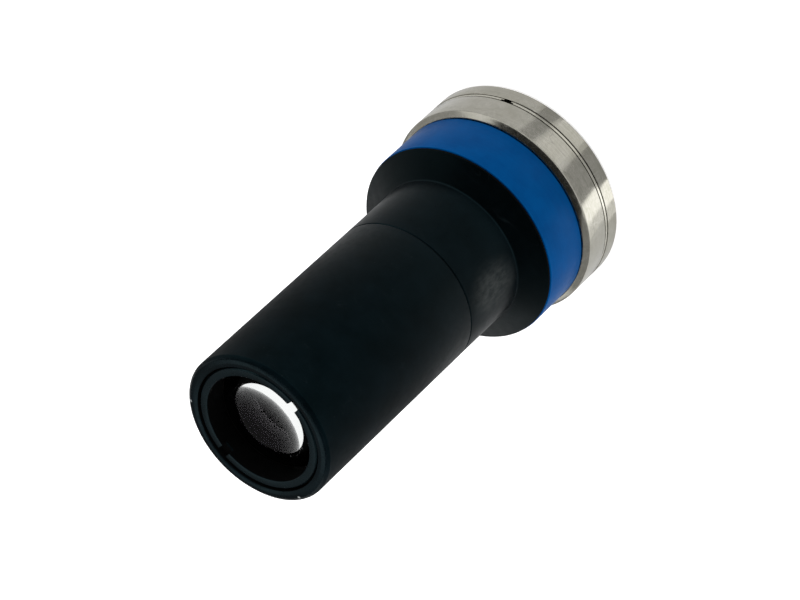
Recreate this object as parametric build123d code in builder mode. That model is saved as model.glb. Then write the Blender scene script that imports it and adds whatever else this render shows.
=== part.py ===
"""Bi-telecentric lens standing on its large front end: millimetres, +Z up the optical axis."""
import os
from math import sqrt

from build123d import *

os.makedirs("parts", exist_ok=True)

# Fits, walls and edges
slide_fit = 0.05
end_clearance = 0.3
edge_break = 0.2
glass_bevel = 0.25
seat_width = 1.2
thread_lead = 0.4
relief_width = 1.2
relief_depth = 0.4
spanner_slot_depth = 0.9
spanner_slot_width = 2.2

# Head, from the glass outwards
front_glass_radius = 25.5
nut_thread_step = 0.45
spigot_wall = 1.65
band_step = 0.65
band_thickness = 1.0
bezel_lip = 0.2
bezel_chamfer_width = 1.4
shoulder_setback = 0.2

# Head, from the front face upwards
front_ring_height = 5.0
front_edge_chamfer = 0.8
front_mouth_chamfer = 1.6
groove_width = 1.4
front_ring_thread_length = 4.0
front_ring_thread_step = 0.8
front_ring_wall = 2.35
spigot_setback = 0.8
bezel_height = 9.0
bezel_chamfer_height = 1.25
band_height = 14.7
band_gap = 0.35
shoulder_rim_height = 0.5
shoulder_cone_height = 3.85
neck_height = 21.8
neck_fillet = 0.8

# Split ring in the groove
split_ring_width = 0.8
split_ring_depth = 1.1
split_ring_recess = 0.15
split_ring_offset = 0.2
split_gap = 2.2
split_tongue_length = 0.7
split_azimuth = -46.6

# Rear barrel, from the glass outwards and from the neck upwards
rear_glass_radius = 16.6
mouth_thread_step = 1.65
barrel_wall = 3.2
barrel_length = 64.0
rim_dish_width = 1.1
rim_dish_depth = 0.2
rim_crown_fall = 0.25
rim_chamfer_width = 0.9
rim_chamfer_height = 0.75
joint_chamfer = 0.3
socket_wall = 1.85
neck_wall = 1.8
neck_thread_length = 9.0
trap_wall = 1.3
trap_lip = 2.0
trap_groove_depth = 0.5
trap_groove_pitch = 2.2
trap_margin = 2.0

# Front group: a meniscus and a cemented doublet, seated against a lip in the head
front_seat_setback = 2.7
front_cone_overrun = 0.6
front_nut_height = 3.4
front_air_gap = 1.2
front_lens_edge = 2.8
front_lens_front_curve = 55.0
front_lens_back_curve = 95.0
objective_crown_edge = 2.2
objective_crown_curve = 62.0
objective_joint_curve = 80.0
objective_flint_centre = 2.8
objective_flint_curve = 190.0

# Stop carrier with the aperture disc below its web and a small cemented doublet above it
carrier_flange_height = 1.8
carrier_depth = 9.0
carrier_wall = 1.6
web_thickness = 1.0
web_bore_radius = 7.2
stop_disc_radius = 12.0
stop_disc_thickness = 0.4
aperture_radius = 4.2
aperture_bevel = 0.2
stop_nut_height = 2.4
stop_nut_wall = 2.4
nut_setback = 0.25
relay_glass_radius = 9.8
relay_flint_centre = 1.6
relay_flint_curve = 60.0
relay_joint_curve = 22.0
relay_crown_edge = 1.8
relay_crown_curve = 24.0
relay_nut_height = 2.2

# Rear group: a cemented doublet and the domed rear lens, held by the slotted ring in the mouth
ring_recess = 0.4
ring_height = 6.7
ring_flange_height = 4.2
ring_head_height = 1.5
ring_step = 0.45
ring_edge_chamfer = 0.4
ring_wall = 1.1
slot_width = 2.8
slot_depth = 1.55
rear_lens_edge = 6.0
rear_lens_rear_curve = 24.0
rear_lens_front_curve = 30.0
rear_air_gap = 1.2
field_crown_edge = 2.0
field_crown_curve = 42.0
field_joint_curve = 38.0
field_flint_centre = 2.2
field_flint_curve = 90.0

# Radii worked out from the glass outwards
front_bore = front_glass_radius + slide_fit
front_nut_bore = front_bore + nut_thread_step
spigot_radius = front_bore + spigot_wall
band_seat = spigot_radius + band_step
band_bore = band_seat + slide_fit
band_radius = band_bore + band_thickness
head_radius = band_radius + bezel_lip + bezel_chamfer_width
shoulder_radius = band_radius - shoulder_setback
groove_floor = head_radius - split_ring_recess - split_ring_depth - slide_fit
front_ring_thread = groove_floor - front_ring_thread_step
rear_bore = rear_glass_radius + slide_fit
mouth_thread = rear_bore + mouth_thread_step
barrel_radius = mouth_thread + barrel_wall
socket_bore = barrel_radius - socket_wall
neck_thread = socket_bore - slide_fit
neck_bore = neck_thread - neck_wall
trap_bore = socket_bore - trap_wall

# Heights worked out from the front face upwards
bezel_base = front_ring_height + groove_width
bezel_top = bezel_base + bezel_height
band_base = bezel_top + band_gap
band_top = band_base + band_height
shoulder_base = band_top + band_gap
shoulder_rim_top = shoulder_base + shoulder_rim_height
neck_base = shoulder_rim_top + shoulder_cone_height
neck_top = neck_base + neck_height
spigot_top = neck_top + neck_thread_length
flange_top = spigot_top + carrier_flange_height
socket_top = flange_top + end_clearance
barrel_top = neck_top + barrel_length
front_ring_top = bezel_base + front_ring_thread_length
spigot_base = front_ring_top + spigot_setback


def sag(curve, radius):
    """Depth of a spherical surface at this distance from its axis."""
    return curve - sqrt(curve**2 - radius**2)


def lens_element(name, radius, base, edge, lower, upper):
    """A round glass element whose rim stands from base to base + edge. Each surface is a triple: radius of
    curvature, radius of the curved part, and +1 where its middle stands above its rim or -1 where below. A
    curved part smaller than the glass leaves a flat land for a ring to bear on."""
    low_curve, low_radius, low_side = lower
    high_curve, high_radius, high_side = upper
    top = base + edge
    low_middle = base + low_side * sag(low_curve, low_radius)
    high_middle = top + high_side * sag(high_curve, high_radius)
    with BuildPart() as element:
        with BuildSketch(Plane.XZ):
            with BuildLine():
                TangentArc((0, low_middle), (low_radius, base), tangent=(1, 0))
                if low_radius < radius - glass_bevel:
                    Line((low_radius, base), (radius - glass_bevel, base))
                    Line((radius - glass_bevel, base), (radius, base + glass_bevel))
                    Line((radius, base + glass_bevel), (radius, base + edge / 2))
                else:
                    Line((radius, base), (radius, base + edge / 2))
                if high_radius < radius - glass_bevel:
                    Line((radius, base + edge / 2), (radius, top - glass_bevel))
                    Line((radius, top - glass_bevel), (radius - glass_bevel, top))
                    Line((radius - glass_bevel, top), (high_radius, top))
                else:
                    Line((radius, base + edge / 2), (radius, top))
                TangentArc((0, high_middle), (high_radius, top), tangent=(1, 0))
                Line((0, high_middle), (0, low_middle))
            make_face()
        revolve(axis=Axis.Z)
    element.part.label = name
    export_step(element.part, f"parts/{name}.step")


def slotted_nut(name, radius, bore, base, height, slots_up):
    """A threaded retaining ring with two spanner slots across one face."""
    slot_plane = base + height if slots_up else base
    with BuildPart() as nut:
        with BuildSketch(Plane.XY.offset(base)):
            Circle(radius)
            Circle(bore, mode=Mode.SUBTRACT)
        extrude(amount=height)
        outer_edges = nut.edges().filter_by(GeomType.CIRCLE).group_by(SortBy.RADIUS)[-1]
        chamfer(outer_edges, thread_lead)
        with BuildSketch(Plane.XY.offset(slot_plane)):
            Rectangle(2 * radius + 2, spanner_slot_width)
        extrude(amount=-spanner_slot_depth if slots_up else spanner_slot_depth, mode=Mode.SUBTRACT)
    nut.part.label = name
    export_step(nut.part, f"parts/{name}.step")


def spacer_ring(name, radius, bore, base, length):
    """A plain ring that keeps two glass elements apart at their rims."""
    with BuildPart() as ring:
        with BuildSketch(Plane.XY.offset(base)):
            Circle(radius)
            Circle(bore, mode=Mode.SUBTRACT)
        extrude(amount=length)
        chamfer(ring.edges().filter_by(GeomType.CIRCLE), edge_break)
    ring.part.label = name
    export_step(ring.part, f"parts/{name}.step")


# Front group, downwards from its seat
front_seat = shoulder_rim_top - front_seat_setback
front_land = front_glass_radius - seat_width
objective_flint_edge = (
    objective_flint_centre + sag(objective_joint_curve, front_glass_radius) - sag(objective_flint_curve, front_land)
)
objective_joint = front_seat - objective_flint_edge
objective_rim = objective_joint - objective_crown_edge
front_spacer_length = front_air_gap + sag(objective_crown_curve, front_land) - sag(front_lens_back_curve, front_land)
front_lens_top = objective_rim - front_spacer_length
front_lens_rim = front_lens_top - front_lens_edge
front_nut_base = front_lens_rim - front_nut_height

lens_element(
    "objective_flint",
    front_glass_radius,
    objective_joint,
    objective_flint_edge,
    (objective_joint_curve, front_glass_radius, 1),
    (objective_flint_curve, front_land, 1),
)
lens_element(
    "objective_crown",
    front_glass_radius,
    objective_rim,
    objective_crown_edge,
    (objective_crown_curve, front_land, -1),
    (objective_joint_curve, front_glass_radius, 1),
)
spacer_ring("front_spacer", front_glass_radius, front_land, objective_rim - front_spacer_length, front_spacer_length)
lens_element(
    "front_lens",
    front_glass_radius,
    front_lens_rim,
    front_lens_edge,
    (front_lens_front_curve, front_land, -1),
    (front_lens_back_curve, front_land, -1),
)
slotted_nut(
    "front_retaining_ring", front_nut_bore - slide_fit, front_land, front_nut_base, front_nut_height, slots_up=False
)

# Stop carrier and what it holds
carrier_base = spigot_top - carrier_depth
carrier_radius = neck_bore - slide_fit
stop_pocket = stop_disc_radius + slide_fit
web_base = carrier_base + nut_setback + stop_nut_height + stop_disc_thickness
web_top = web_base + web_thickness
relay_land = relay_glass_radius - seat_width
relay_pocket = relay_glass_radius + slide_fit
relay_nut_pocket = relay_pocket + nut_thread_step
relay_flint_edge = (
    relay_flint_centre + sag(relay_joint_curve, relay_glass_radius) + sag(relay_flint_curve, relay_land)
)
relay_joint = web_top + relay_flint_edge
relay_rim = relay_joint + relay_crown_edge
relay_nut_top = relay_rim + relay_nut_height
cell_radius = relay_nut_pocket + carrier_wall
cell_top = max(relay_nut_top + nut_setback, flange_top + edge_break)

with BuildPart() as stop_carrier:
    with BuildSketch(Plane.XZ):
        with BuildLine():
            Polyline(
                (stop_pocket, carrier_base),
                (carrier_radius - edge_break, carrier_base),
                (carrier_radius, carrier_base + edge_break),
                (carrier_radius, spigot_top),
                (neck_thread, spigot_top),
                (neck_thread, flange_top),
                (cell_radius, flange_top),
                (cell_radius, cell_top),
                (relay_nut_pocket, cell_top),
                (relay_nut_pocket, relay_rim - end_clearance),
                (relay_pocket, relay_rim - end_clearance),
                (relay_pocket, web_top),
                (web_bore_radius, web_top),
                (web_bore_radius, web_base),
                (stop_pocket, web_base),
                close=True,
            )
        make_face()
    revolve(axis=Axis.Z)
stop_carrier.part.label = "stop_carrier"
export_step(stop_carrier.part, "parts/stop_carrier.step")

with BuildPart() as aperture_stop:
    with BuildSketch(Plane.XZ):
        with BuildLine():
            Polyline(
                (aperture_radius + aperture_bevel, web_base - stop_disc_thickness),
                (stop_disc_radius, web_base - stop_disc_thickness),
                (stop_disc_radius, web_base),
                (aperture_radius, web_base),
                close=True,
            )
        make_face()
    revolve(axis=Axis.Z)
aperture_stop.part.label = "aperture_stop"
export_step(aperture_stop.part, "parts/aperture_stop.step")

slotted_nut(
    "stop_retaining_ring",
    stop_disc_radius,
    stop_disc_radius - stop_nut_wall,
    carrier_base + nut_setback,
    stop_nut_height,
    slots_up=False,
)
lens_element(
    "relay_flint",
    relay_glass_radius,
    web_top,
    relay_flint_edge,
    (relay_flint_curve, relay_land, 1),
    (relay_joint_curve, relay_glass_radius, -1),
)
lens_element(
    "relay_crown",
    relay_glass_radius,
    relay_joint,
    relay_crown_edge,
    (relay_joint_curve, relay_glass_radius, -1),
    (relay_crown_curve, relay_land, 1),
)
slotted_nut(
    "relay_retaining_ring", relay_nut_pocket - slide_fit, relay_land, relay_rim, relay_nut_height, slots_up=True
)

# Rear group, downwards from the slotted ring
ring_top = barrel_top - ring_recess
ring_base = ring_top - ring_height
flange_base = ring_top - ring_flange_height
ring_thread = mouth_thread - slide_fit
ring_head = ring_thread - ring_step
rim_crown_base = barrel_top - rim_crown_fall
ring_bore = rear_glass_radius - ring_wall
rear_land = rear_glass_radius - seat_width
rear_lens_base = ring_base - rear_lens_edge
rear_spacer_length = rear_air_gap + sag(rear_lens_front_curve, rear_land) + sag(field_crown_curve, rear_land)
field_rim = rear_lens_base - rear_spacer_length
field_joint = field_rim - field_crown_edge
field_flint_edge = (
    field_flint_centre + sag(field_joint_curve, rear_glass_radius) - sag(field_flint_curve, rear_land)
)
rear_seat = field_joint - field_flint_edge

lens_element(
    "rear_lens",
    rear_glass_radius,
    rear_lens_base,
    rear_lens_edge,
    (rear_lens_front_curve, rear_land, -1),
    (rear_lens_rear_curve, rear_land, 1),
)
spacer_ring("rear_spacer", rear_glass_radius, rear_land, field_rim, rear_spacer_length)
lens_element(
    "field_crown",
    rear_glass_radius,
    field_joint,
    field_crown_edge,
    (field_joint_curve, rear_glass_radius, -1),
    (field_crown_curve, rear_land, 1),
)
lens_element(
    "field_flint",
    rear_glass_radius,
    rear_seat,
    field_flint_edge,
    (field_flint_curve, rear_land, -1),
    (field_joint_curve, rear_glass_radius, -1),
)

with BuildPart() as rear_retaining_ring:
    with BuildSketch(Plane.XZ):
        with BuildLine():
            Polyline(
                (ring_bore, ring_base),
                (rear_glass_radius, ring_base),
                (rear_glass_radius, flange_base),
                (ring_thread, flange_base),
                (ring_thread, ring_top - ring_head_height),
                (ring_head, ring_top - ring_head_height),
                (ring_head, ring_top - ring_edge_chamfer),
                (ring_head - ring_edge_chamfer, ring_top),
                (ring_bore + edge_break, ring_top),
                (ring_bore, ring_top - edge_break),
                close=True,
            )
        make_face()
    revolve(axis=Axis.Z)
    with BuildSketch(Plane.XY.offset(ring_top)):
        Rectangle(slot_width, 2 * mouth_thread)
    extrude(amount=-slot_depth, mode=Mode.SUBTRACT)
rear_retaining_ring.part.label = "rear_retaining_ring"
export_step(rear_retaining_ring.part, "parts/rear_retaining_ring.step")

# Rear barrel, with rows of light-trap grooves between the carrier and the seat of the rear group
trap_top = rear_seat - trap_lip
trap_start = socket_top + trap_margin
trap_length = trap_top - trap_margin - trap_start
trap_count = max(int(trap_length // trap_groove_pitch), 0)

with BuildPart() as rear_barrel:
    with BuildSketch(Plane.XZ):
        with BuildLine():
            Polyline(
                (socket_bore + edge_break, neck_top),
                (barrel_radius - joint_chamfer, neck_top),
                (barrel_radius, neck_top + joint_chamfer),
                (barrel_radius, rim_crown_base - rim_chamfer_height),
                (barrel_radius - rim_chamfer_width, rim_crown_base),
                (mouth_thread + rim_dish_width, barrel_top),
                (mouth_thread, barrel_top - rim_dish_depth),
                (mouth_thread, flange_base - end_clearance),
                (rear_bore, flange_base - end_clearance),
                (rear_bore, rear_seat),
                (rear_land, rear_seat),
                (rear_land, trap_top),
                (trap_bore, trap_top),
                (trap_bore, socket_top),
                (socket_bore, socket_top),
                (socket_bore, neck_top + edge_break),
                close=True,
            )
        make_face()
        for row in range(trap_count):
            groove_height = trap_start + (row + 0.5) * trap_groove_pitch
            with Locations((trap_bore, groove_height)):
                Rectangle(2 * trap_groove_depth, trap_groove_pitch / 2, mode=Mode.SUBTRACT)
    revolve(axis=Axis.Z)
rear_barrel.part.label = "rear_barrel"
export_step(rear_barrel.part, "parts/rear_barrel.step")

# Head housing: spigot for the bezel, seat for the colour band, shoulder, neck and threaded end
with BuildPart() as head_housing:
    with BuildSketch(Plane.XZ):
        with BuildLine():
            Polyline(
                (front_nut_bore, spigot_base),
                (spigot_radius - thread_lead, spigot_base),
                (spigot_radius, spigot_base + thread_lead),
                (spigot_radius, bezel_top),
                (band_seat, bezel_top),
                (band_seat, shoulder_base),
                (shoulder_radius - edge_break, shoulder_base),
                (shoulder_radius, shoulder_base + edge_break),
                (shoulder_radius, shoulder_rim_top),
                (barrel_radius, neck_base),
                (barrel_radius, neck_top - joint_chamfer),
                (barrel_radius - joint_chamfer, neck_top),
                (neck_thread - relief_depth, neck_top),
                (neck_thread - relief_depth, neck_top + relief_width),
                (neck_thread, neck_top + relief_width),
                (neck_thread, spigot_top - thread_lead),
                (neck_thread - thread_lead, spigot_top),
                (neck_bore, spigot_top),
                (neck_bore, neck_base + front_cone_overrun),
                (front_land, front_seat + seat_width),
                (front_land, front_seat),
                (front_bore, front_seat),
                (front_bore, front_lens_rim + end_clearance),
                (front_nut_bore, front_lens_rim + end_clearance),
                close=True,
            )
        make_face()
    revolve(axis=Axis.Z)
    neck_root = head_housing.edges().filter_by(GeomType.CIRCLE).filter_by_position(
        Axis.Z, neck_base - edge_break, neck_base + edge_break
    )
    fillet(neck_root.sort_by(SortBy.RADIUS)[-1], neck_fillet)
head_housing.part.label = "head_housing"
export_step(head_housing.part, "parts/head_housing.step")

with BuildPart() as colour_band:
    with BuildSketch(Plane.XY.offset(band_base)):
        Circle(band_radius)
        Circle(band_bore, mode=Mode.SUBTRACT)
    extrude(amount=band_height)
    chamfer(colour_band.edges().filter_by(GeomType.CIRCLE).group_by(SortBy.RADIUS)[-1], edge_break / 2)
colour_band.part.label = "colour_band"
export_step(colour_band.part, "parts/colour_band.step")

# Bezel: threaded on to the head's spigot at its rear and on to the front ring at its front
bezel_rear_radius = head_radius - bezel_chamfer_width

with BuildPart() as bezel:
    with BuildSketch(Plane.XZ):
        with BuildLine():
            Polyline(
                (front_ring_thread + slide_fit, bezel_base),
                (head_radius - edge_break, bezel_base),
                (head_radius, bezel_base + edge_break),
                (head_radius, bezel_top - bezel_chamfer_height),
                (bezel_rear_radius, bezel_top),
                (spigot_radius + slide_fit, bezel_top),
                (spigot_radius + slide_fit, front_ring_top),
                (front_ring_thread + slide_fit, front_ring_top),
                close=True,
            )
        make_face()
    revolve(axis=Axis.Z)
    rim = bezel.edges().filter_by(GeomType.CIRCLE).group_by(SortBy.RADIUS)[-1]
    fillet(rim.sort_by(Axis.Z)[-1], edge_break)
bezel.part.label = "bezel"
export_step(bezel.part, "parts/bezel.step")

front_ring_bore = front_ring_thread - front_ring_wall

with BuildPart() as front_ring:
    with BuildSketch(Plane.XZ):
        with BuildLine():
            Polyline(
                (front_ring_bore + front_mouth_chamfer, 0),
                (head_radius - front_edge_chamfer, 0),
                (head_radius, front_edge_chamfer),
                (head_radius, front_ring_height - edge_break),
                (head_radius - edge_break, front_ring_height),
                (groove_floor, front_ring_height),
                (groove_floor, bezel_base),
                (front_ring_thread, bezel_base),
                (front_ring_thread, front_ring_top),
                (front_ring_bore, front_ring_top),
                (front_ring_bore, front_mouth_chamfer),
                close=True,
            )
        make_face()
    revolve(axis=Axis.Z)
front_ring.part.label = "front_ring"
export_step(front_ring.part, "parts/front_ring.step")

# Split ring: its two ends stand a gap apart, each with a half-width tongue
split_base = front_ring_height + split_ring_offset
split_inner = groove_floor + slide_fit
split_outer = split_inner + split_ring_depth

with BuildPart() as split_ring:
    with BuildSketch(Plane.XY.offset(split_base)):
        Circle(split_outer)
        Circle(split_inner, mode=Mode.SUBTRACT)
    extrude(amount=split_ring_width)
    chamfer(split_ring.edges().filter_by(GeomType.CIRCLE).group_by(SortBy.RADIUS)[-1], edge_break / 2)
    with BuildSketch(Plane.XY.offset(split_base)):
        with Locations(Rot(0, 0, split_azimuth)):
            with Locations((split_inner + split_ring_depth / 2, 0)):
                Rectangle(2 * split_ring_depth, split_gap)
    extrude(amount=split_ring_width, mode=Mode.SUBTRACT)
    with BuildSketch(Plane.XY.offset(split_base + split_ring_width / 2)):
        with Locations(Rot(0, 0, split_azimuth)):
            with Locations((split_inner + split_ring_depth / 2, 0)):
                Rectangle(2 * split_ring_depth, split_gap + 2 * split_tongue_length)
    extrude(amount=split_ring_width / 2, mode=Mode.SUBTRACT)
split_ring.part.label = "split_ring"
export_step(split_ring.part, "parts/split_ring.step")
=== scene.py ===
"""Looks of a bi-telecentric lens that stands on its large front end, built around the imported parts."""
from math import asin, cos, pi, radians, sin

import bmesh
import bpy
from mathutils import Matrix, Vector


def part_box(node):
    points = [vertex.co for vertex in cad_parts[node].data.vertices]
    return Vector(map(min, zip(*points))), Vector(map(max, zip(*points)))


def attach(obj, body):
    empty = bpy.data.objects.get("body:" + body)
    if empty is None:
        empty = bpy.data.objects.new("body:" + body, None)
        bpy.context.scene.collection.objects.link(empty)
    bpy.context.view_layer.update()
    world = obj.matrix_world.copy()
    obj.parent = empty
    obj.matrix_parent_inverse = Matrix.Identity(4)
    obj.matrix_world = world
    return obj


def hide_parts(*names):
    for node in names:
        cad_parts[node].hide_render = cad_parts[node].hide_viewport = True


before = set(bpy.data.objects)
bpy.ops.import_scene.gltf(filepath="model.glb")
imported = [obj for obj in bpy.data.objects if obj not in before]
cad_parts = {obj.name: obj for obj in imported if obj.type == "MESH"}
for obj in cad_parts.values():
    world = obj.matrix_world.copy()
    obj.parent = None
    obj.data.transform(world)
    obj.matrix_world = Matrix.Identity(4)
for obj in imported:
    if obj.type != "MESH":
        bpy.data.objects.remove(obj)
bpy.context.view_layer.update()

MM = 0.001
STEPS = 240
PART_MIDDLE = (0, 0, 60)

# Camera, fitted to the photograph
CAMERA_PLACE = (0.082603, -0.741977, 0.686676)
CAMERA_FORWARD = (-0.08529, 0.76039, -0.64384)
CAMERA_ROLL = -133.02
CAMERA_LENS = 170.48
CAMERA_AZIMUTH = -83.6


def box_of(node):
    """Outer radius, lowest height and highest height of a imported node, in mm."""
    low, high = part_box(node)
    return high.x / MM, low.z / MM, high.z / MM


# Turned and ground shapes


def draw_profile(shape, corners):
    """Closes a wire through (radius, height, edge break) corners, in mm, and rounds each by its break."""
    points = [shape.verts.new((radius * MM, 0, height * MM)) for radius, height, _ in corners]
    for here, there in zip(points, points[1:] + points[:1]):
        shape.edges.new((here, there))
    for point, (_, _, edge_break) in zip(points, corners):
        if edge_break:
            bmesh.ops.bevel(
                shape, geom=[point], offset=edge_break * MM, offset_type="OFFSET", affect="VERTICES",
                segments=3, profile=0.5, material=-1, clamp_overlap=True,
            )


def spin_round(shape):
    """Turns the wire into a closed shape round the optical axis."""
    bmesh.ops.spin(
        shape, geom=shape.verts[:] + shape.edges[:], cent=(0, 0, 0), axis=(0, 0, 1), angle=2 * pi,
        steps=STEPS, use_merge=True,
    )
    bmesh.ops.remove_doubles(shape, verts=shape.verts, dist=0.0001 * MM)
    bmesh.ops.recalc_face_normals(shape, faces=shape.faces)


def finish_piece(name, shape, finishes, nodes, sharp=22):
    """Makes the object, shades it smooth between sharp edges, and puts it in the place of its CAD nodes."""
    mesh = bpy.data.meshes.new(name)
    shape.to_mesh(mesh)
    shape.free()
    mesh.shade_smooth()
    mesh.set_sharp_from_angle(angle=radians(sharp))
    for finish in finishes:
        mesh.materials.append(finish)
    piece = bpy.data.objects.new(name, mesh)
    bpy.context.scene.collection.objects.link(piece)
    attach(piece, "root")
    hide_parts(*nodes)


def turned_shape(corners):
    """A closed turned shape from its profile."""
    shape = bmesh.new()
    draw_profile(shape, corners)
    spin_round(shape)
    return shape


def face_facts(face):
    """Radius and height of a face's middle in mm, and its normal's outward and upward parts."""
    middle = face.calc_center_median()
    radius = (middle.x**2 + middle.y**2) ** 0.5
    outward = (middle.x * face.normal.x + middle.y * face.normal.y) / max(radius, 1e-9)
    return radius / MM, middle.z / MM, outward, face.normal.z


def paint_faces(shape, index, wanted):
    """Gives a material index to the faces for which wanted(radius, height, outward, upward) holds."""
    for face in shape.faces:
        if wanted(*face_facts(face)):
            face.material_index = index


def add_arc(shape, start_radius, start_height, curve_centre, end_radius, curve):
    """Sweeps a wire along a sphere's section between two radii, and returns its first and last points."""
    start = shape.verts.new((start_radius * MM, 0, start_height * MM))
    turn = asin(end_radius / curve) - asin(start_radius / curve)
    above = 1 if start_height > curve_centre else -1
    swept = bmesh.ops.spin(
        shape, geom=[start], cent=(0, 0, curve_centre * MM), axis=(0, 1, 0), angle=above * turn, steps=20,
    )
    last = [part for part in swept["geom_last"] if isinstance(part, bmesh.types.BMVert)][0]
    return start, last


def sag(curve, radius):
    """Depth of a spherical surface at this distance from the axis."""
    return curve - (curve**2 - radius**2) ** 0.5


def ground_glass(name, nodes, radius, lower, upper, finishes, bevel=0.25):
    """A glass element between two surfaces.

    Each surface is (rim height, curve, curved radius, side). Side is 1 where its middle is above its rim, and
    -1 where it is below.
    """
    shape = bmesh.new()
    ends = []
    for rim, curve, land, side in (lower, upper):
        middle = rim + side * sag(curve, land)
        start, last = add_arc(shape, 0, middle, middle - side * curve, land, curve)
        ends.append((start, last))
    low_rim, high_rim = lower[0], upper[0]
    outline = [
        (radius - bevel, low_rim),
        (radius, low_rim + bevel),
        (radius, high_rim - bevel),
        (radius - bevel, high_rim),
    ]
    points = [shape.verts.new((across * MM, 0, height * MM)) for across, height in outline]
    chain = [ends[0][1]] + points + [ends[1][1]]
    for here, there in zip(chain, chain[1:]):
        shape.edges.new((here, there))
    spin_round(shape)
    paint_faces(shape, 1, lambda across, height, outward, upward: across > radius - bevel)
    finish_piece(name, shape, finishes, nodes, sharp=12)


# Procedural finishes


class Finish:
    """One procedural material. Its textures read the object's own position, in millimetres."""

    def __init__(self, name):
        self.material = bpy.data.materials.new(name)
        self.material.use_nodes = True
        self.tree = self.material.node_tree
        self.shader = self.tree.nodes["Principled BSDF"]
        place = self.node("ShaderNodeTexCoord").outputs["Object"]
        inputs = {0: place, "Scale": 1 / MM}
        self.place = self.node("ShaderNodeVectorMath", inputs, operation="SCALE").outputs[0]

    def node(self, kind, inputs=None, **settings):
        """Adds a node, sets it up, and links or sets its inputs."""
        made = self.tree.nodes.new(kind)
        for setting, value in settings.items():
            setattr(made, setting, value)
        for socket, value in (inputs or {}).items():
            if isinstance(value, bpy.types.NodeSocket):
                self.tree.links.new(value, made.inputs[socket])
            else:
                made.inputs[socket].default_value = value
        return made

    def wear(self, **sockets):
        """Sets or links the shader's own inputs."""
        for socket, value in sockets.items():
            target = self.shader.inputs[socket.replace("_", " ")]
            if isinstance(value, bpy.types.NodeSocket):
                self.tree.links.new(value, target)
            else:
                target.default_value = value

    def moved(self, scale=(1, 1, 1), turn=(0, 0, 0)):
        """The position, stretched and turned by these degrees."""
        inputs = {"Vector": self.place, "Scale": scale, "Rotation": [radians(angle) for angle in turn]}
        return self.node("ShaderNodeMapping", inputs).outputs[0]

    def noise(self, size, detail=2.0, rough=0.5, place=None, distortion=0.0):
        """Soft noise with features of about this size in mm."""
        inputs = {
            "Vector": place or self.place, "Scale": 1 / size, "Detail": detail,
            "Roughness": rough, "Distortion": distortion,
        }
        return self.node("ShaderNodeTexNoise", inputs).outputs["Fac"]

    def fit(self, value, low, high, to_low=0.0, to_high=1.0, smooth=False):
        """Maps a value from one range to another, clamped."""
        inputs = {"Value": value, "From Min": low, "From Max": high, "To Min": to_low, "To Max": to_high}
        kind = "SMOOTHSTEP" if smooth else "LINEAR"
        return self.node("ShaderNodeMapRange", inputs, interpolation_type=kind).outputs["Result"]

    def maths(self, operation, first, second=0.0):
        """One arithmetic step."""
        return self.node("ShaderNodeMath", {0: first, 1: second}, operation=operation).outputs[0]

    def mix(self, share, first, second):
        """Mixes two colours."""
        mixer = self.node("ShaderNodeMix", data_type="RGBA")
        for socket, value in (("Factor_Float", share), ("A_Color", first), ("B_Color", second)):
            target = [one for one in mixer.inputs if one.identifier == socket][0]
            if isinstance(value, bpy.types.NodeSocket):
                self.tree.links.new(value, target)
            else:
                target.default_value = value
        return [one for one in mixer.outputs if one.identifier == "Result_Color"][0]

    def rings(self, pitch, stretch_round=0.02):
        """Noise that runs round the axis like tool marks, so it hardly changes with angle."""
        parts = self.node("ShaderNodeSeparateXYZ", {0: self.place})
        across = self.node("ShaderNodeCombineXYZ", {0: parts.outputs[0], 1: parts.outputs[1]}).outputs[0]
        radius = self.node("ShaderNodeVectorMath", {0: across}, operation="LENGTH").outputs["Value"]
        slow = self.maths("MULTIPLY", parts.outputs[0], stretch_round)
        place = self.node("ShaderNodeCombineXYZ", {0: radius, 1: slow, 2: parts.outputs[2]}).outputs[0]
        return self.noise(pitch, detail=1.0, place=place)

    def scratches(self, size, width, turn, stretch=(0.05, 1, 1)):
        """Thin broken lines: the level lines of a stretched noise."""
        level = self.noise(size, detail=0.0, place=self.moved(scale=stretch, turn=turn))
        line = self.maths("ABSOLUTE", self.maths("SUBTRACT", level, 0.5))
        thin = self.fit(line, 0.0, width, 1.0, 0.0)
        broken = self.fit(self.noise(size * 4, detail=1.0), 0.52, 0.62)
        return self.maths("MULTIPLY", thin, broken)

    def specks(self, spacing, size):
        """Sparse small dots, as of dust."""
        cells = self.node("ShaderNodeTexVoronoi", {"Vector": self.place, "Scale": 1 / spacing})
        near = self.fit(cells.outputs["Distance"], 0.0, size / spacing, 1.0, 0.0)
        chosen = self.node("ShaderNodeSeparateColor", {0: cells.outputs["Color"]}).outputs[0]
        return self.maths("MULTIPLY", near, self.maths("GREATER_THAN", chosen, 0.7))

    def bump(self, height, depth, strength=1.0, under=None):
        """Surface relief of this depth in mm."""
        inputs = {"Height": height, "Distance": depth * MM, "Strength": strength}
        if under:
            inputs["Normal"] = under
        return self.node("ShaderNodeBump", inputs).outputs["Normal"]


def grey(level, tint=(1, 1, 1)):
    """A colour of this brightness and tint."""
    return (level * tint[0], level * tint[1], level * tint[2], 1)


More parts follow.
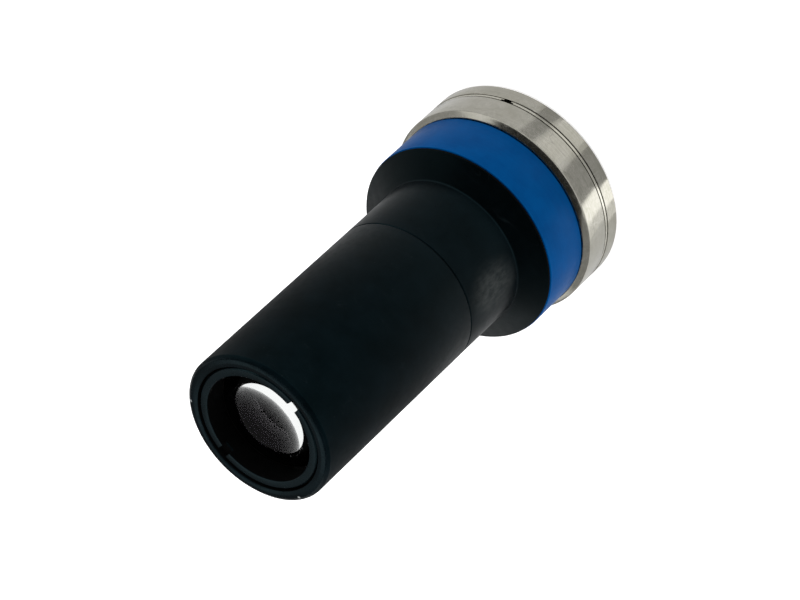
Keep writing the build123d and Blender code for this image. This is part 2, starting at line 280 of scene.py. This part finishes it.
def anodised_black(name, dark=0.0016, light=0.0036, roughness=0.38, gloss=0.17, sheen=(0.42, 0.88, 1.0, 1),
                   marks=None):
    """Satin black anodising with a blue-green cast, faint mottling, tool marks, fine scratches and dust."""
    finish = Finish(name)
    tint = (0.42, 1.0, 1.4)
    mottle = finish.fit(finish.noise(9.0, detail=3.0, rough=0.6), 0.35, 0.65)
    colour = finish.mix(mottle, grey(dark, tint), grey(light, tint))
    if marks:
        colour = marks(finish, colour)
    hairs = finish.maths(
        "MAXIMUM", finish.scratches(3.0, 0.006, (20, 35, 10)), finish.scratches(4.0, 0.005, (-35, 15, 70))
    )
    scratch_colour = grey(0.035, (0.8, 1, 1.1))
    dust_colour = grey(0.07, (0.9, 1, 1))
    colour = finish.mix(finish.maths("MULTIPLY", hairs, 0.12), colour, scratch_colour)
    colour = finish.mix(finish.maths("MULTIPLY", finish.specks(2.6, 0.16), 0.5), colour, dust_colour)
    cloud = finish.noise(2.2, detail=4.0, rough=0.65)
    finish.wear(
        Base_Color=colour,
        Roughness=finish.fit(cloud, 0.3, 0.7, roughness - 0.05, roughness + 0.06),
        Specular_IOR_Level=gloss,
        Specular_Tint=sheen,
    )
    grain = finish.bump(finish.noise(0.12, detail=2.0), 0.004, 0.35)
    finish.wear(Normal=finish.bump(finish.rings(0.25), 0.004, 0.35, under=grain))
    return finish.material


def near_point(finish, point, inner, outer, stretch=(1, 1, 1)):
    """One near this point of the part, in mm, falling to nothing at the outer distance."""
    offset = finish.node("ShaderNodeVectorMath", {0: finish.place, 1: point}, operation="SUBTRACT").outputs[0]
    squeezed = finish.node("ShaderNodeVectorMath", {0: offset, 1: stretch}, operation="MULTIPLY").outputs[0]
    distance = finish.node("ShaderNodeVectorMath", {0: squeezed}, operation="LENGTH").outputs["Value"]
    return finish.fit(distance, inner, outer, 1.0, 0.0, smooth=True)


def baffle_black_and_painted_shade():
    """Flat black inside the bores, as dark as a light trap, with a fine sprayed grain. On outer faces in
    gaps, grooves and slots it is painted shade.
    """
    finish = Finish("baffle_black_and_painted_shade")
    spray = finish.noise(0.3, detail=3.0, rough=0.6)
    finish.wear(
        Base_Color=finish.mix(finish.fit(spray, 0.35, 0.7), grey(0.0008), grey(0.0022, (0.9, 1, 1.05))),
        Roughness=finish.fit(spray, 0.3, 0.7, 0.62, 0.8),
        Specular_IOR_Level=0.05,
        Normal=finish.bump(spray, 0.01, 0.5),
    )
    return finish.material


def neck_rub_and_painted_highlight(finish, colour):
    """Handling marks and a painted highlight on the neck: a pale patch, partly rubbed wear and partly painted
    highlight on the side that faces the light, broken up by streaks along the neck.
    """
    near = near_point(finish, (-13.0, -17.1, 46.0), 1.5, 9.0, (1, 1, 0.75))
    streaks = finish.noise(1.1, detail=4.0, rough=0.65, place=finish.moved(scale=(1, 1, 0.4)))
    share = finish.maths("MULTIPLY", near, finish.fit(streaks, 0.36, 0.64, 0.35, 1.0))
    return finish.mix(share, colour, grey(0.040, (0.95, 1.0, 0.98)))


def rim_nicks(finish, colour):
    """Two small bright nicks where the end of the barrel was knocked."""
    for angle in (41.9, 168.0):
        place = (20.4 * cos(radians(angle)), 20.4 * sin(radians(angle)), 120.7)
        colour = finish.mix(near_point(finish, place, 0.1, 0.55), colour, grey(0.35, (0.95, 1.0, 1.0)))
    return colour


def anodised_blue():
    """Blue anodising on the colour band: even, satin, with very fine tool marks round it."""
    finish = Finish("anodised_blue")
    cloud = finish.fit(finish.noise(7.0, detail=3.0, rough=0.6), 0.3, 0.7)
    colour = finish.mix(cloud, (0.0, 0.055, 0.205, 1), (0.0, 0.069, 0.245, 1))
    lines = finish.fit(finish.rings(0.35), 0.35, 0.65)
    colour = finish.mix(finish.maths("MULTIPLY", lines, 0.12), colour, (0.0, 0.085, 0.29, 1))
    finish.wear(
        Base_Color=colour,
        Roughness=finish.fit(finish.noise(1.2, detail=3.0), 0.3, 0.7, 0.34, 0.42),
        Specular_IOR_Level=0.03,
        Specular_Tint=(0.10, 0.45, 1.0, 1),
        Normal=finish.bump(finish.rings(0.12), 0.003, 0.3),
    )
    return finish.material


def nickel(name, level=0.46, roughness=0.16):
    """Bright nickel plate on turned metal: warm grey, with stains, fine lines and a few scratches."""
    finish = Finish(name)
    warm = (1.0, 0.97, 0.86)
    curd = finish.noise(2.4, detail=5.0, rough=0.68, distortion=1.2)
    stain = finish.fit(curd, 0.40, 0.62)
    colour = finish.mix(stain, grey(level * 0.88, (1.0, 0.98, 0.84)), grey(level * 1.06, warm))
    patch = finish.fit(finish.noise(9.0, detail=2.0), 0.42, 0.66)
    colour = finish.mix(finish.maths("MULTIPLY", patch, 0.5), colour, grey(level * 0.84, (1.0, 0.96, 0.80)))
    lines = finish.fit(finish.rings(0.5), 0.40, 0.62)
    colour = finish.mix(finish.maths("MULTIPLY", lines, 0.25), colour, grey(level * 1.18, warm))
    hairs = finish.scratches(2.5, 0.008, (15, 40, 20))
    colour = finish.mix(finish.maths("MULTIPLY", hairs, 0.5), colour, grey(level * 0.55, warm))
    finish.wear(
        Base_Color=colour,
        Metallic=1.0,
        Roughness=finish.fit(curd, 0.3, 0.7, roughness - 0.03, roughness + 0.09),
        Anisotropic=0.35,
        Normal=finish.bump(finish.rings(0.10), 0.002, 0.25, under=finish.bump(curd, 0.004, 0.3)),
    )
    tangent = finish.node("ShaderNodeTangent", direction_type="RADIAL", axis="Z").outputs[0]
    finish.wear(Tangent=tangent)
    return finish.material


def coated_glass(name, index, coating, clear):
    """Polished glass of this index. Its thin coating weakens and tints what its surfaces mirror."""
    finish = Finish(name)
    haze = finish.noise(6.0, detail=4.0, rough=0.6)
    finish.wear(
        Base_Color=finish.mix(finish.fit(haze, 0.3, 0.7), grey(clear * 0.96, (0.97, 1, 0.99)), grey(clear)),
        Roughness=finish.fit(finish.specks(3.0, 0.08), 0.0, 1.0, 0.0, 0.15),
        IOR=index,
        Specular_Tint=coating,
        Transmission_Weight=1.0,
        Normal=finish.bump(finish.specks(2.0, 0.1), 0.0004, 0.1),
    )
    return finish.material


def edge_paint():
    """Matt black paint on the ground edges of the glass."""
    finish = Finish("edge_paint")
    brushed = finish.rings(0.4, stretch_round=0.2)
    finish.wear(
        Base_Color=finish.mix(finish.fit(brushed, 0.35, 0.65), grey(0.003), grey(0.007)),
        Roughness=finish.fit(brushed, 0.3, 0.7, 0.55, 0.75),
        Specular_IOR_Level=0.15,
        Normal=finish.bump(brushed, 0.01, 0.4),
    )
    return finish.material


black_barrel = anodised_black("anodised_black_barrel", gloss=0.09, sheen=(0.26, 0.85, 1.0, 1))
# The head's black carries the neck's pale patch: partly rubbed wear, partly painted highlight.
black_head = anodised_black("anodised_black_head", roughness=0.32, gloss=0.13, marks=neck_rub_and_painted_highlight)
# A darker copy of the black for the shoulder cone: painted shade on the upward-facing cone.
cone_black_painted_shade = anodised_black("anodised_black_cone", dark=0.0004, light=0.0010, roughness=0.36, gloss=0.13)
black_ring = anodised_black("anodised_black_ring", roughness=0.26, gloss=0.24)
black_rim = anodised_black("anodised_black_rim", roughness=0.26, gloss=0.16, marks=rim_nicks)
bore_black_and_painted_shade = baffle_black_and_painted_shade()
blue_band = anodised_blue()
bright_nickel = nickel("bright_nickel")
pale_steel = nickel("pale_spring_steel", level=0.60, roughness=0.22)
dense_index = 1.76
faint_index = 1.05
glass = coated_glass("coated_glass", dense_index, (0.03, 0.025, 0.035, 1), 0.98)
inner_glass = coated_glass("coated_inner_glass", faint_index, (0.06, 0.05, 0.08, 1), 0.12)
glass_edge = edge_paint()


# Head, from the front face upwards

EDGE = 0.2
FINE_EDGE = 0.12
SLIDE_FIT = 0.05

head_radius, front_face, front_ring_top = box_of("front_ring")
_, bezel_base, bezel_top = box_of("bezel")
band_radius, band_base, band_top = box_of("colour_band")
barrel_radius, neck_top, barrel_top = box_of("rear_barrel")
shoulder_radius, _, spigot_top = box_of("head_housing")
front_nut_radius, _, front_nut_top = box_of("front_retaining_ring")
front_glass_radius, _, _ = box_of("front_lens")

front_ring_height = 5.0
front_mouth_chamfer = 1.6
front_rim_chamfer = 0.8
bezel_chamfer_width = 1.4
bezel_chamfer_height = 1.25
groove_floor = 29.2
front_ring_thread = 28.4
front_ring_bore = 26.05
spigot_radius = 27.2
band_seat = 27.85
band_bore = 27.9
shoulder_gap = 0.35
shoulder_rim_height = 0.5
cone_height = 3.85
shoulder_base = band_top + shoulder_gap
shoulder_rim_top = shoulder_base + shoulder_rim_height
neck_base = shoulder_rim_top + cone_height

front_ring_shape = turned_shape([
    (front_ring_bore + front_mouth_chamfer, front_face, FINE_EDGE),
    (head_radius - front_rim_chamfer, front_face, FINE_EDGE),
    (head_radius, front_face + front_rim_chamfer, FINE_EDGE),
    (head_radius, front_ring_height, EDGE),
    (groove_floor, front_ring_height, 0),
    (groove_floor, bezel_base, 0),
    (front_ring_thread, bezel_base, 0),
    (front_ring_thread, front_ring_top, 0),
    (front_ring_bore, front_ring_top, FINE_EDGE),
    (front_ring_bore, front_face + front_mouth_chamfer, FINE_EDGE),
])
# The bore and the hidden faces above the bezel's base take the flat black. The groove floor takes it as
# painted shade: a dark line in the groove by the spring ring.
paint_faces(
    front_ring_shape, 1,
    lambda across, height, outward, upward: (
        across < front_ring_thread and outward < -0.9 or height > bezel_base
        or across < groove_floor + 0.02 and outward > 0.9
    ),
)
finish_piece("front_ring", front_ring_shape, [bright_nickel, bore_black_and_painted_shade], ["front_ring"])

bezel_shape = turned_shape([
    (front_ring_thread + SLIDE_FIT, bezel_base, 0),
    (head_radius, bezel_base, EDGE),
    (head_radius, bezel_top - bezel_chamfer_height, EDGE),
    (head_radius - bezel_chamfer_width, bezel_top, FINE_EDGE),
    (spigot_radius + SLIDE_FIT, bezel_top, 0),
    (spigot_radius + SLIDE_FIT, front_ring_top, 0),
    (front_ring_thread + SLIDE_FIT, front_ring_top, 0),
])
finish_piece("bezel", bezel_shape, [bright_nickel], ["bezel"])

band_shape = turned_shape([
    (band_bore, band_base, 0),
    (band_radius, band_base, FINE_EDGE),
    (band_radius, band_top, FINE_EDGE),
    (band_bore, band_top, 0),
])
finish_piece("colour_band", band_shape, [blue_band], ["colour_band"])


split_gap = 2.2
split_tongue = 0.7
split_angle = -46.6
split_edge = 0.08


def add_split_ring():
    """The spring ring in the groove: open by a gap, with a half-width tongue at each end."""
    outer, base, top = box_of("split_ring")
    inner = groove_floor + SLIDE_FIT
    middle_radius = (outer + inner) / 2
    gap = split_gap / middle_radius
    tongue = split_tongue / middle_radius
    start = radians(split_angle) + gap / 2 + tongue
    sweep = 2 * pi - gap - 2 * tongue
    shape = bmesh.new()
    corners = [(inner, base), (outer, base), (outer, top), (inner, top)]
    points = [shape.verts.new((across * MM, 0, height * MM)) for across, height in corners]
    section = shape.faces.new(points)
    bmesh.ops.rotate(shape, verts=points, cent=(0, 0, 0), matrix=Matrix.Rotation(start, 3, "Z"))
    geometry = [section] + section.edges[:] + section.verts[:]
    bmesh.ops.spin(shape, geom=geometry, cent=(0, 0, 0), axis=(0, 0, 1), angle=sweep, steps=STEPS)
    half = (base + top) / 2
    everything = shape.verts[:] + shape.edges[:] + shape.faces[:]
    bmesh.ops.bisect_plane(shape, geom=everything, plane_co=(0, 0, half * MM), plane_no=(0, 0, 1))
    for angle, turn in ((start, -tongue), (start + sweep, tongue)):
        across = Vector((-sin(angle), cos(angle), 0))
        ends = [
            face for face in shape.faces
            if abs(face.normal.dot(across)) > 0.99 and face.calc_center_median().z < half * MM
            and abs(face.calc_center_median().dot(across)) < 0.01 * MM
            and face.calc_center_median().dot(Vector((cos(angle), sin(angle), 0))) > 0
        ]
        grown = bmesh.ops.extrude_face_region(shape, geom=ends)["geom"]
        tips = [part for part in grown if isinstance(part, bmesh.types.BMVert)]
        bmesh.ops.delete(shape, geom=ends, context="FACES")
        bmesh.ops.rotate(shape, verts=tips, cent=(0, 0, 0), matrix=Matrix.Rotation(turn, 3, "Z"))
    bmesh.ops.recalc_face_normals(shape, faces=shape.faces)
    long_edges = [
        edge for edge in shape.edges
        if len(edge.link_faces) == 2 and edge.calc_face_angle() > radians(60)
        and min((vert.co.x**2 + vert.co.y**2) ** 0.5 for vert in edge.verts) > (outer - 0.05) * MM
    ]
    bmesh.ops.bevel(
        shape, geom=long_edges, offset=split_edge * MM, affect="EDGES", segments=2, profile=0.5, material=-1,
        clamp_overlap=True,
    )
    finish_piece("split_ring", shape, [pale_steel], ["split_ring"])


add_split_ring()

lens_land = 1.2
neck_fillet = 0.45
joint_chamfer = 0.3
joint_edge = 0.05
thread_relief_depth = 0.4
thread_relief_height = 1.2
front_seat_drop = 2.7
front_seat = shoulder_rim_top - front_seat_drop
front_land = front_glass_radius - lens_land
front_bore = front_glass_radius + SLIDE_FIT
front_nut_bore = front_nut_radius + SLIDE_FIT
neck_thread = 19.6
neck_bore = 17.8
spigot_base = front_ring_top + 0.8
housing_shape = turned_shape([
    (front_nut_bore, spigot_base, 0),
    (spigot_radius, spigot_base, EDGE),
    (spigot_radius, bezel_top, 0),
    (band_seat, bezel_top, 0),
    (band_seat, shoulder_base, 0),
    (shoulder_radius, shoulder_base, FINE_EDGE),
    (shoulder_radius, shoulder_rim_top, FINE_EDGE),
    (barrel_radius, neck_base, neck_fillet),
    (barrel_radius, neck_top - joint_chamfer, joint_edge),
    (barrel_radius - joint_chamfer, neck_top, joint_edge),
    (neck_thread - thread_relief_depth, neck_top, 0),
    (neck_thread - thread_relief_depth, neck_top + thread_relief_height, 0),
    (neck_thread, neck_top + thread_relief_height, 0),
    (neck_thread, spigot_top, EDGE),
    (neck_bore, spigot_top, 0),
    (neck_bore, neck_base + 0.6, 0),
    (front_land, front_seat + 1.2, 0),
    (front_land, front_seat, 0),
    (front_bore, front_seat, 0),
    (front_bore, front_nut_top + 0.3, 0),
    (front_nut_bore, front_nut_top + 0.3, 0),
])
# The shoulder cone takes the darker copy of the black: painted shade on the upward-facing cone.
paint_faces(
    housing_shape, 2,
    lambda across, height, outward, upward: shoulder_rim_top < height < neck_base - 0.1 and upward > 0.5,
)
# The bores take the flat black. The band's seat, the shoulder's underside and the shoulder's rim take it as
# painted shade: dark lines in the gaps either side of the band.
paint_faces(
    housing_shape, 1,
    lambda across, height, outward, upward: (
        outward < -0.3 and across < band_seat or height < shoulder_base + 0.02 and across > spigot_radius
        or height < shoulder_rim_top + 0.01 and across > shoulder_radius - 0.15
    ),
)
finish_piece(
    "head_housing", housing_shape, [black_head, bore_black_and_painted_shade, cone_black_painted_shade], ["head_housing"]
)

# Barrel and its slotted ring

ring_radius, ring_base, ring_top = box_of("rear_retaining_ring")
rear_glass_radius, _, _ = box_of("rear_lens")
field_lower_curve = 90.0
ring_flange_height = 4.2
mouth_thread = ring_radius + SLIDE_FIT
flange_base = ring_top - ring_flange_height
rear_bore = rear_glass_radius + SLIDE_FIT
rear_land = rear_glass_radius - lens_land
_, field_bottom, _ = box_of("field_flint")
rear_seat = field_bottom + sag(field_lower_curve, rear_land)
ring_lip = 1.1
socket_wall = 1.85
ring_bore = rear_glass_radius - ring_lip
socket_bore = barrel_radius - socket_wall
socket_top = spigot_top + 2.1
trap_bore = socket_bore - 1.3
trap_top = rear_seat - 2.0
flange_relief = 0.3
rim_chamfer_width = 0.9
rim_chamfer_foot = 1.0
rim_crown_fall = 0.25
rim_dish_width = 1.1
rim_dish_depth = 0.2

barrel_corners = [
    (socket_bore, neck_top, EDGE),
    (barrel_radius - joint_chamfer, neck_top, joint_edge),
    (barrel_radius, neck_top + joint_chamfer, joint_edge),
    (barrel_radius, barrel_top - rim_chamfer_foot, 0.15),
    (barrel_radius - rim_chamfer_width, barrel_top - rim_crown_fall, 0.25),
    (mouth_thread + rim_dish_width, barrel_top, FINE_EDGE),
    (mouth_thread, barrel_top - rim_dish_depth, 0.06),
    (mouth_thread, flange_base - flange_relief, 0),
    (rear_bore, flange_base - flange_relief, 0),
    (rear_bore, rear_seat, 0),
    (rear_land, rear_seat, 0),
    (rear_land, trap_top, 0),
    (trap_bore, trap_top, 0),
]
trap_start = socket_top + 2.0
trap_pitch = 2.2
trap_depth = 0.5
trap_half = 0.55
trap_rows = int((trap_top - 2.0 - trap_start) // trap_pitch)
for row in reversed(range(trap_rows)):
    middle = trap_start + (row + 0.5) * trap_pitch
    for across, height in (
        (0, trap_half), (trap_depth, trap_half), (trap_depth, -trap_half), (0, -trap_half)
    ):
        barrel_corners.append((trap_bore + across, middle + height, 0))
barrel_corners += [(trap_bore, socket_top, 0), (socket_bore, socket_top, 0)]
barrel_shape = turned_shape(barrel_corners)
# Inside the barrel the flat black is the bore's finish. On the mouth's wall by the ring and on the joint
# chamfer at the foot it is painted shade: dark lines in the gap and at the joint.
paint_faces(
    barrel_shape, 1,
    lambda across, height, outward, upward: (
        across < mouth_thread + 0.02 and height < barrel_top - 0.25 or height < neck_top + 0.28
    ),
)
paint_faces(
    barrel_shape, 2, lambda across, height, outward, upward: upward > 0.5 and height > barrel_top - 0.4,
)
finish_piece(
    "rear_barrel", barrel_shape, [black_barrel, bore_black_and_painted_shade, black_rim], ["rear_barrel"]
)


def cut_slot(shape, side, width, floor):
    """Cuts a slot of this width along Y through the ring on one side, down to the floor height."""
    half = width / 2
    for plane, normal in (((half, 0, 0), (1, 0, 0)), ((-half, 0, 0), (1, 0, 0)), ((0, 0, floor), (0, 0, 1))):
        everything = shape.verts[:] + shape.edges[:] + shape.faces[:]
        place = [value * MM for value in plane]
        bmesh.ops.bisect_plane(shape, geom=everything, dist=0.0001 * MM, plane_co=place, plane_no=normal)

    def inside(face):
        middle = face.calc_center_median() / MM
        return abs(middle.x) < half and middle.z > floor + 0.001 and middle.y * side > 0

    cut = [face for face in shape.faces if inside(face)]
    bmesh.ops.delete(shape, geom=cut, context="FACES")
    rim = [edge for edge in shape.edges if edge.is_boundary]

    def on_wall(vert, x):
        return abs(vert.co.x / MM - x) < 0.001

    def on_floor(vert):
        return abs(vert.co.z / MM - floor) < 0.001

    joins = []
    for x in (half, -half):
        corners = {vert for edge in rim for vert in edge.verts if on_wall(vert, x) and on_floor(vert)}
        joins.append(shape.edges.new(sorted(corners, key=lambda vert: abs(vert.co.y))))
    floor_edges = [edge for edge in rim if all(on_floor(vert) for vert in edge.verts)] + joins
    bmesh.ops.edgenet_fill(shape, edges=floor_edges)
    for x, join in zip((half, -half), joins):
        wall_edges = [edge for edge in rim if all(on_wall(vert, x) for vert in edge.verts)] + [join]
        bmesh.ops.edgenet_fill(shape, edges=wall_edges)


def break_slot_edges(shape, floor):
    """Breaks the inner edge of each slot's floor, where it meets the bore."""

    def at_bore(vert):
        radius = (vert.co.x**2 + vert.co.y**2) ** 0.5 / MM
        return abs(vert.co.z / MM - floor) < 0.001 and radius < ring_bore + 0.02

    edges = [edge for edge in shape.edges if all(at_bore(vert) for vert in edge.verts)]
    bmesh.ops.bevel(
        shape, geom=edges, offset=slot_edge_break * MM, affect="EDGES", segments=1, profile=0.5, material=-1,
        clamp_overlap=True,
    )


slot_width = 2.8
slot_depth = 1.55
slot_edge_break = 0.35
ring_step = 0.45
ring_head_height = 1.5
ring_edge_chamfer = 0.4
slot_floor = ring_top - slot_depth
ring_head = ring_radius - ring_step
ring_shape = turned_shape([
    (ring_bore, ring_base, FINE_EDGE),
    (rear_glass_radius, ring_base, 0),
    (rear_glass_radius, flange_base, 0),
    (ring_radius, flange_base, 0),
    (ring_radius, ring_top - ring_head_height, 0),
    (ring_head, ring_top - ring_head_height, 0),
    (ring_head, ring_top - ring_edge_chamfer, 0.05),
    (ring_head - ring_edge_chamfer, ring_top, 0.05),
    (ring_bore, ring_top, EDGE),
])
for side in (-1, 1):
    cut_slot(ring_shape, side, slot_width, slot_floor)
break_slot_edges(ring_shape, slot_floor)
bmesh.ops.recalc_face_normals(ring_shape, faces=ring_shape.faces)
# The ring's bore takes the flat black. The slot floors and walls and the ring's sides below its top chamfer
# take it as painted shade, in the slots and in the recess round the ring.
paint_faces(
    ring_shape, 1,
    lambda across, height, outward, upward: (
        outward < -0.95 and across < ring_bore + 0.02
        or height < ring_top - 0.45 and not 0.3 < upward < 0.95
        or abs(outward) < 0.2 and abs(upward) < 0.2
    ),
)
finish_piece(
    "rear_retaining_ring", ring_shape, [black_ring, bore_black_and_painted_shade], ["rear_retaining_ring"]
)

# Glass

# The rear lens's lower curve turns light back by total reflection, which is the pale crescent in the dome.
rear_rim = ring_base
rear_lens_edge = 6.0
rear_lens_lower_curve = 30.0
rear_lens_upper_curve = 24.0
ground_glass(
    "rear_lens", ["rear_lens"], rear_glass_radius,
    (rear_rim - rear_lens_edge, rear_lens_lower_curve, rear_land, -1),
    (rear_rim, rear_lens_upper_curve, rear_land, 1), [glass, glass_edge],
)
_, _, field_top = box_of("field_crown")
field_upper_curve = 42.0
field_rim = field_top - sag(field_upper_curve, rear_land)
ground_glass(
    "field_doublet", ["field_crown", "field_flint"], rear_glass_radius,
    (rear_seat, field_lower_curve, rear_land, -1), (field_rim, field_upper_curve, rear_land, 1),
    [inner_glass, glass_edge],
)
front_lens_rim = front_nut_top
front_lens_edge = 2.8
front_lens_lower_curve = 55.0
front_lens_upper_curve = 95.0
ground_glass(
    "front_lens", ["front_lens"], front_glass_radius,
    (front_lens_rim, front_lens_lower_curve, front_land, -1),
    (front_lens_rim + front_lens_edge, front_lens_upper_curve, front_land, -1), [glass, glass_edge],
)

# The parts that no view shows keep their solids, in the same finishes

for node in ("front_retaining_ring", "front_spacer", "rear_spacer", "stop_carrier", "stop_retaining_ring",
             "relay_retaining_ring", "aperture_stop"):
    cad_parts[node].data.materials.clear()
    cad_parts[node].data.materials.append(bore_black_and_painted_shade)
for node in ("objective_crown", "objective_flint", "relay_crown", "relay_flint"):
    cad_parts[node].data.materials.clear()
    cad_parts[node].data.materials.append(inner_glass)

# Stage, light and camera


def stage_finish(name, colour, camera_glow):
    """A plain surface that the camera sees a little brighter than other rays do."""
    finish = Finish(name)
    path = finish.node("ShaderNodeLightPath").outputs["Is Camera Ray"]
    grain = finish.noise(40.0, detail=3.0)
    finish.wear(
        Base_Color=finish.mix(finish.fit(grain, 0.3, 0.7), grey(colour), grey(colour * 1.02)),
        Roughness=0.9,
        Specular_IOR_Level=0.0,
        Emission_Color=(1, 1, 1, 1),
        Emission_Strength=finish.maths("MULTIPLY", path, camera_glow),
    )
    return finish.material


def add_floor():
    """A wide pale floor just under the part."""
    shape = bmesh.new()
    bmesh.ops.create_circle(shape, cap_ends=True, segments=96, radius=6.0)
    bmesh.ops.translate(shape, verts=shape.verts, vec=(0, 0, -0.02 * MM))
    mesh = bpy.data.meshes.new("floor")
    shape.to_mesh(mesh)
    shape.free()
    mesh.materials.append(stage_finish("pale_floor", 0.80, 0.62))
    floor = bpy.data.objects.new("floor", mesh)
    bpy.context.scene.collection.objects.link(floor)


def glow(name, strength):
    """A plain glowing card's material."""
    material = bpy.data.materials.new(name)
    material.use_nodes = True
    tree = material.node_tree
    tree.nodes.clear()
    emission = tree.nodes.new("ShaderNodeEmission")
    emission.inputs["Strength"].default_value = strength
    output = tree.nodes.new("ShaderNodeOutputMaterial")
    tree.links.new(emission.outputs[0], output.inputs["Surface"])
    return material


def quads_shape(quads):
    """A shape of quads through their corners, in mm."""
    shape = bmesh.new()
    for corners in quads:
        points = [shape.verts.new([value * MM for value in corner]) for corner in corners]
        shape.faces.new(points)
    return shape


def add_card(name, shape, strength):
    """Makes a glowing card of this shape. Only reflections show it."""
    mesh = bpy.data.meshes.new(name)
    shape.to_mesh(mesh)
    shape.free()
    mesh.materials.append(glow(name, strength))
    card = bpy.data.objects.new(name, mesh)
    bpy.context.scene.collection.objects.link(card)
    card.visible_camera = False
    card.visible_diffuse = False
    card.visible_shadow = False
    card.visible_transmission = False


def studio_point(aside, away, height):
    """A place in the studio, in mm: aside to the camera's right, away from it, and up."""
    front = radians(CAMERA_AZIMUTH)
    side = front + pi / 2
    return (
        aside * cos(side) - away * cos(front),
        aside * sin(side) - away * sin(front),
        height,
    )


def level_card(name, strength, near, far, half_width, height):
    """A level card overhead, from near to far as seen from the camera."""
    corners = ((-half_width, near), (half_width, near), (half_width, far), (-half_width, far))
    add_card(name, quads_shape([[studio_point(aside, away, height) for aside, away in corners]]), strength)


def standing_card(name, strength, first, last, away, low, high):
    """An upright card behind the part, from first to last across the camera's view."""
    corners = ((first, low), (last, low), (last, high), (first, high))
    add_card(name, quads_shape([[studio_point(aside, away, height) for aside, height in corners]]), strength)


def add_back_panels():
    """A stack of panels behind the part, each brighter than the one below, as in a room lit from above."""
    rows = 7
    height = 100
    foot = 90
    for row in range(rows):
        low = foot + row * height
        strength = 0.08 + 1.9 * (row / (rows - 1)) ** 3
        standing_card(f"back_panel_{row}", strength, -300, 300, 400, low, low + height)


def side_card(name, strength, aside, near, far, low, high):
    """An upright card beside the part, from near to far as seen from the camera."""
    corners = ((near, low), (far, low), (far, high), (near, high))
    add_card(name, quads_shape([[studio_point(aside, away, height) for away, height in corners]]), strength)


def floor_ring(name, inner, outer, strength):
    """A flat ring of card on the floor round the part."""
    shape = bmesh.new()
    for radius in (inner, outer):
        bmesh.ops.create_circle(shape, segments=24, radius=radius * MM)
    bmesh.ops.bridge_loops(shape, edges=shape.edges[:])
    add_card(name, shape, strength)


def floor_strip(name, first, last, strength, reach=26.0, steps=4):
    """A strip of card on the floor by the head. Its reflection spans these angles from the camera's."""
    gap = 0.3
    quads = []
    for step in range(steps):
        here = first + (last - first) * step / steps
        there = first + (last - first) * (step + 1) / steps
        corners = []
        for angle, far in ((here, 0), (here, reach), (there, reach), (there, 0)):
            foot = radians(CAMERA_AZIMUTH + angle)
            away = radians(CAMERA_AZIMUTH + 2 * angle)
            corners.append((
                (head_radius + gap) * cos(foot) + far * cos(away),
                (head_radius + gap) * sin(foot) + far * sin(away),
                0.0,
            ))
        quads.append(corners)
    add_card(name, quads_shape(quads), strength)


def add_light(name, place, size, power):
    """A square soft light that faces the middle of the part. Reflections and the glass don't show it."""
    data = bpy.data.lights.new(name, "AREA")
    data.size = size * MM
    data.energy = power
    light = bpy.data.objects.new(name, data)
    bpy.context.scene.collection.objects.link(light)
    light.location = Vector(place) * MM
    facing = (Vector(PART_MIDDLE) - Vector(place)).to_track_quat("-Z", "Y")
    light.rotation_euler = facing.to_euler()
    light.visible_glossy = False
    light.visible_transmission = False


def add_world():
    """White for the camera, for reflections and through glass, and a plain soft fill for the rest."""
    world = bpy.data.worlds.new("studio")
    bpy.context.scene.world = world
    world.use_nodes = True
    tree = world.node_tree
    background = tree.nodes["Background"]
    path = tree.nodes.new("ShaderNodeLightPath")
    seen = path.outputs["Is Camera Ray"]
    for kind in ("Is Glossy Ray", "Is Transmission Ray"):
        either = tree.nodes.new("ShaderNodeMath")
        either.operation = "MAXIMUM"
        tree.links.new(seen, either.inputs[0])
        tree.links.new(path.outputs[kind], either.inputs[1])
        seen = either.outputs[0]
    strength = tree.nodes.new("ShaderNodeMapRange")
    tree.links.new(seen, strength.inputs["Value"])
    strength.inputs["To Min"].default_value = 0.62
    strength.inputs["To Max"].default_value = 1.0
    tree.links.new(strength.outputs["Result"], background.inputs["Strength"])
    background.inputs["Color"].default_value = (1, 1, 1, 1)


def add_camera():
    """The photograph's camera: it looks down at 40 degrees, rolled so that the small end comes lower left."""
    data = bpy.data.cameras.new("camera")
    data.lens = CAMERA_LENS
    data.sensor_width = 36
    data.clip_start = 0.01
    data.clip_end = 50
    camera = bpy.data.objects.new("camera", data)
    bpy.context.scene.collection.objects.link(camera)
    camera.location = CAMERA_PLACE
    level = Vector(CAMERA_FORWARD).to_track_quat("-Z", "Y").to_matrix()
    camera.rotation_euler = (level @ Matrix.Rotation(radians(CAMERA_ROLL), 3, "Z")).to_euler()
    bpy.context.scene.camera = camera


add_floor()
floor_strip("strip_right", 22, 80, 0.73)
floor_strip("strip_right_dark", 11, 20, 0.45)
floor_strip("strip_left_dark", -28, -9, 0.45)
floor_strip("strip_left_bright", -40, -29, 1.95)
floor_strip("strip_left_fading", -48, -40, 1.15)
floor_strip("strip_middle", -6, 9, 1.0)
floor_ring("floor_near", 60, 90, 0.62)
floor_ring("floor_far", 90, 300, 0.25)
level_card("dark_ceiling", 0.03, -1400, 900, 1100, 900)
side_card("left_wall", 0.35, -700, -300, 650, 10, 650)
side_card("right_wall", 0.45, 700, 50, 900, 10, 520)
side_card("right_window", 1.10, 700, -300, 50, 420, 760)
add_back_panels()
add_light("overhead", (0, 0, 900), 700, 4.0)
add_light("window", studio_point(-900, 250, 330), 600, 5.0)
add_light("room", studio_point(800, -250, 260), 500, 1.5)
add_world()
add_camera()
bpy.context.scene.view_settings.view_transform = "Standard"
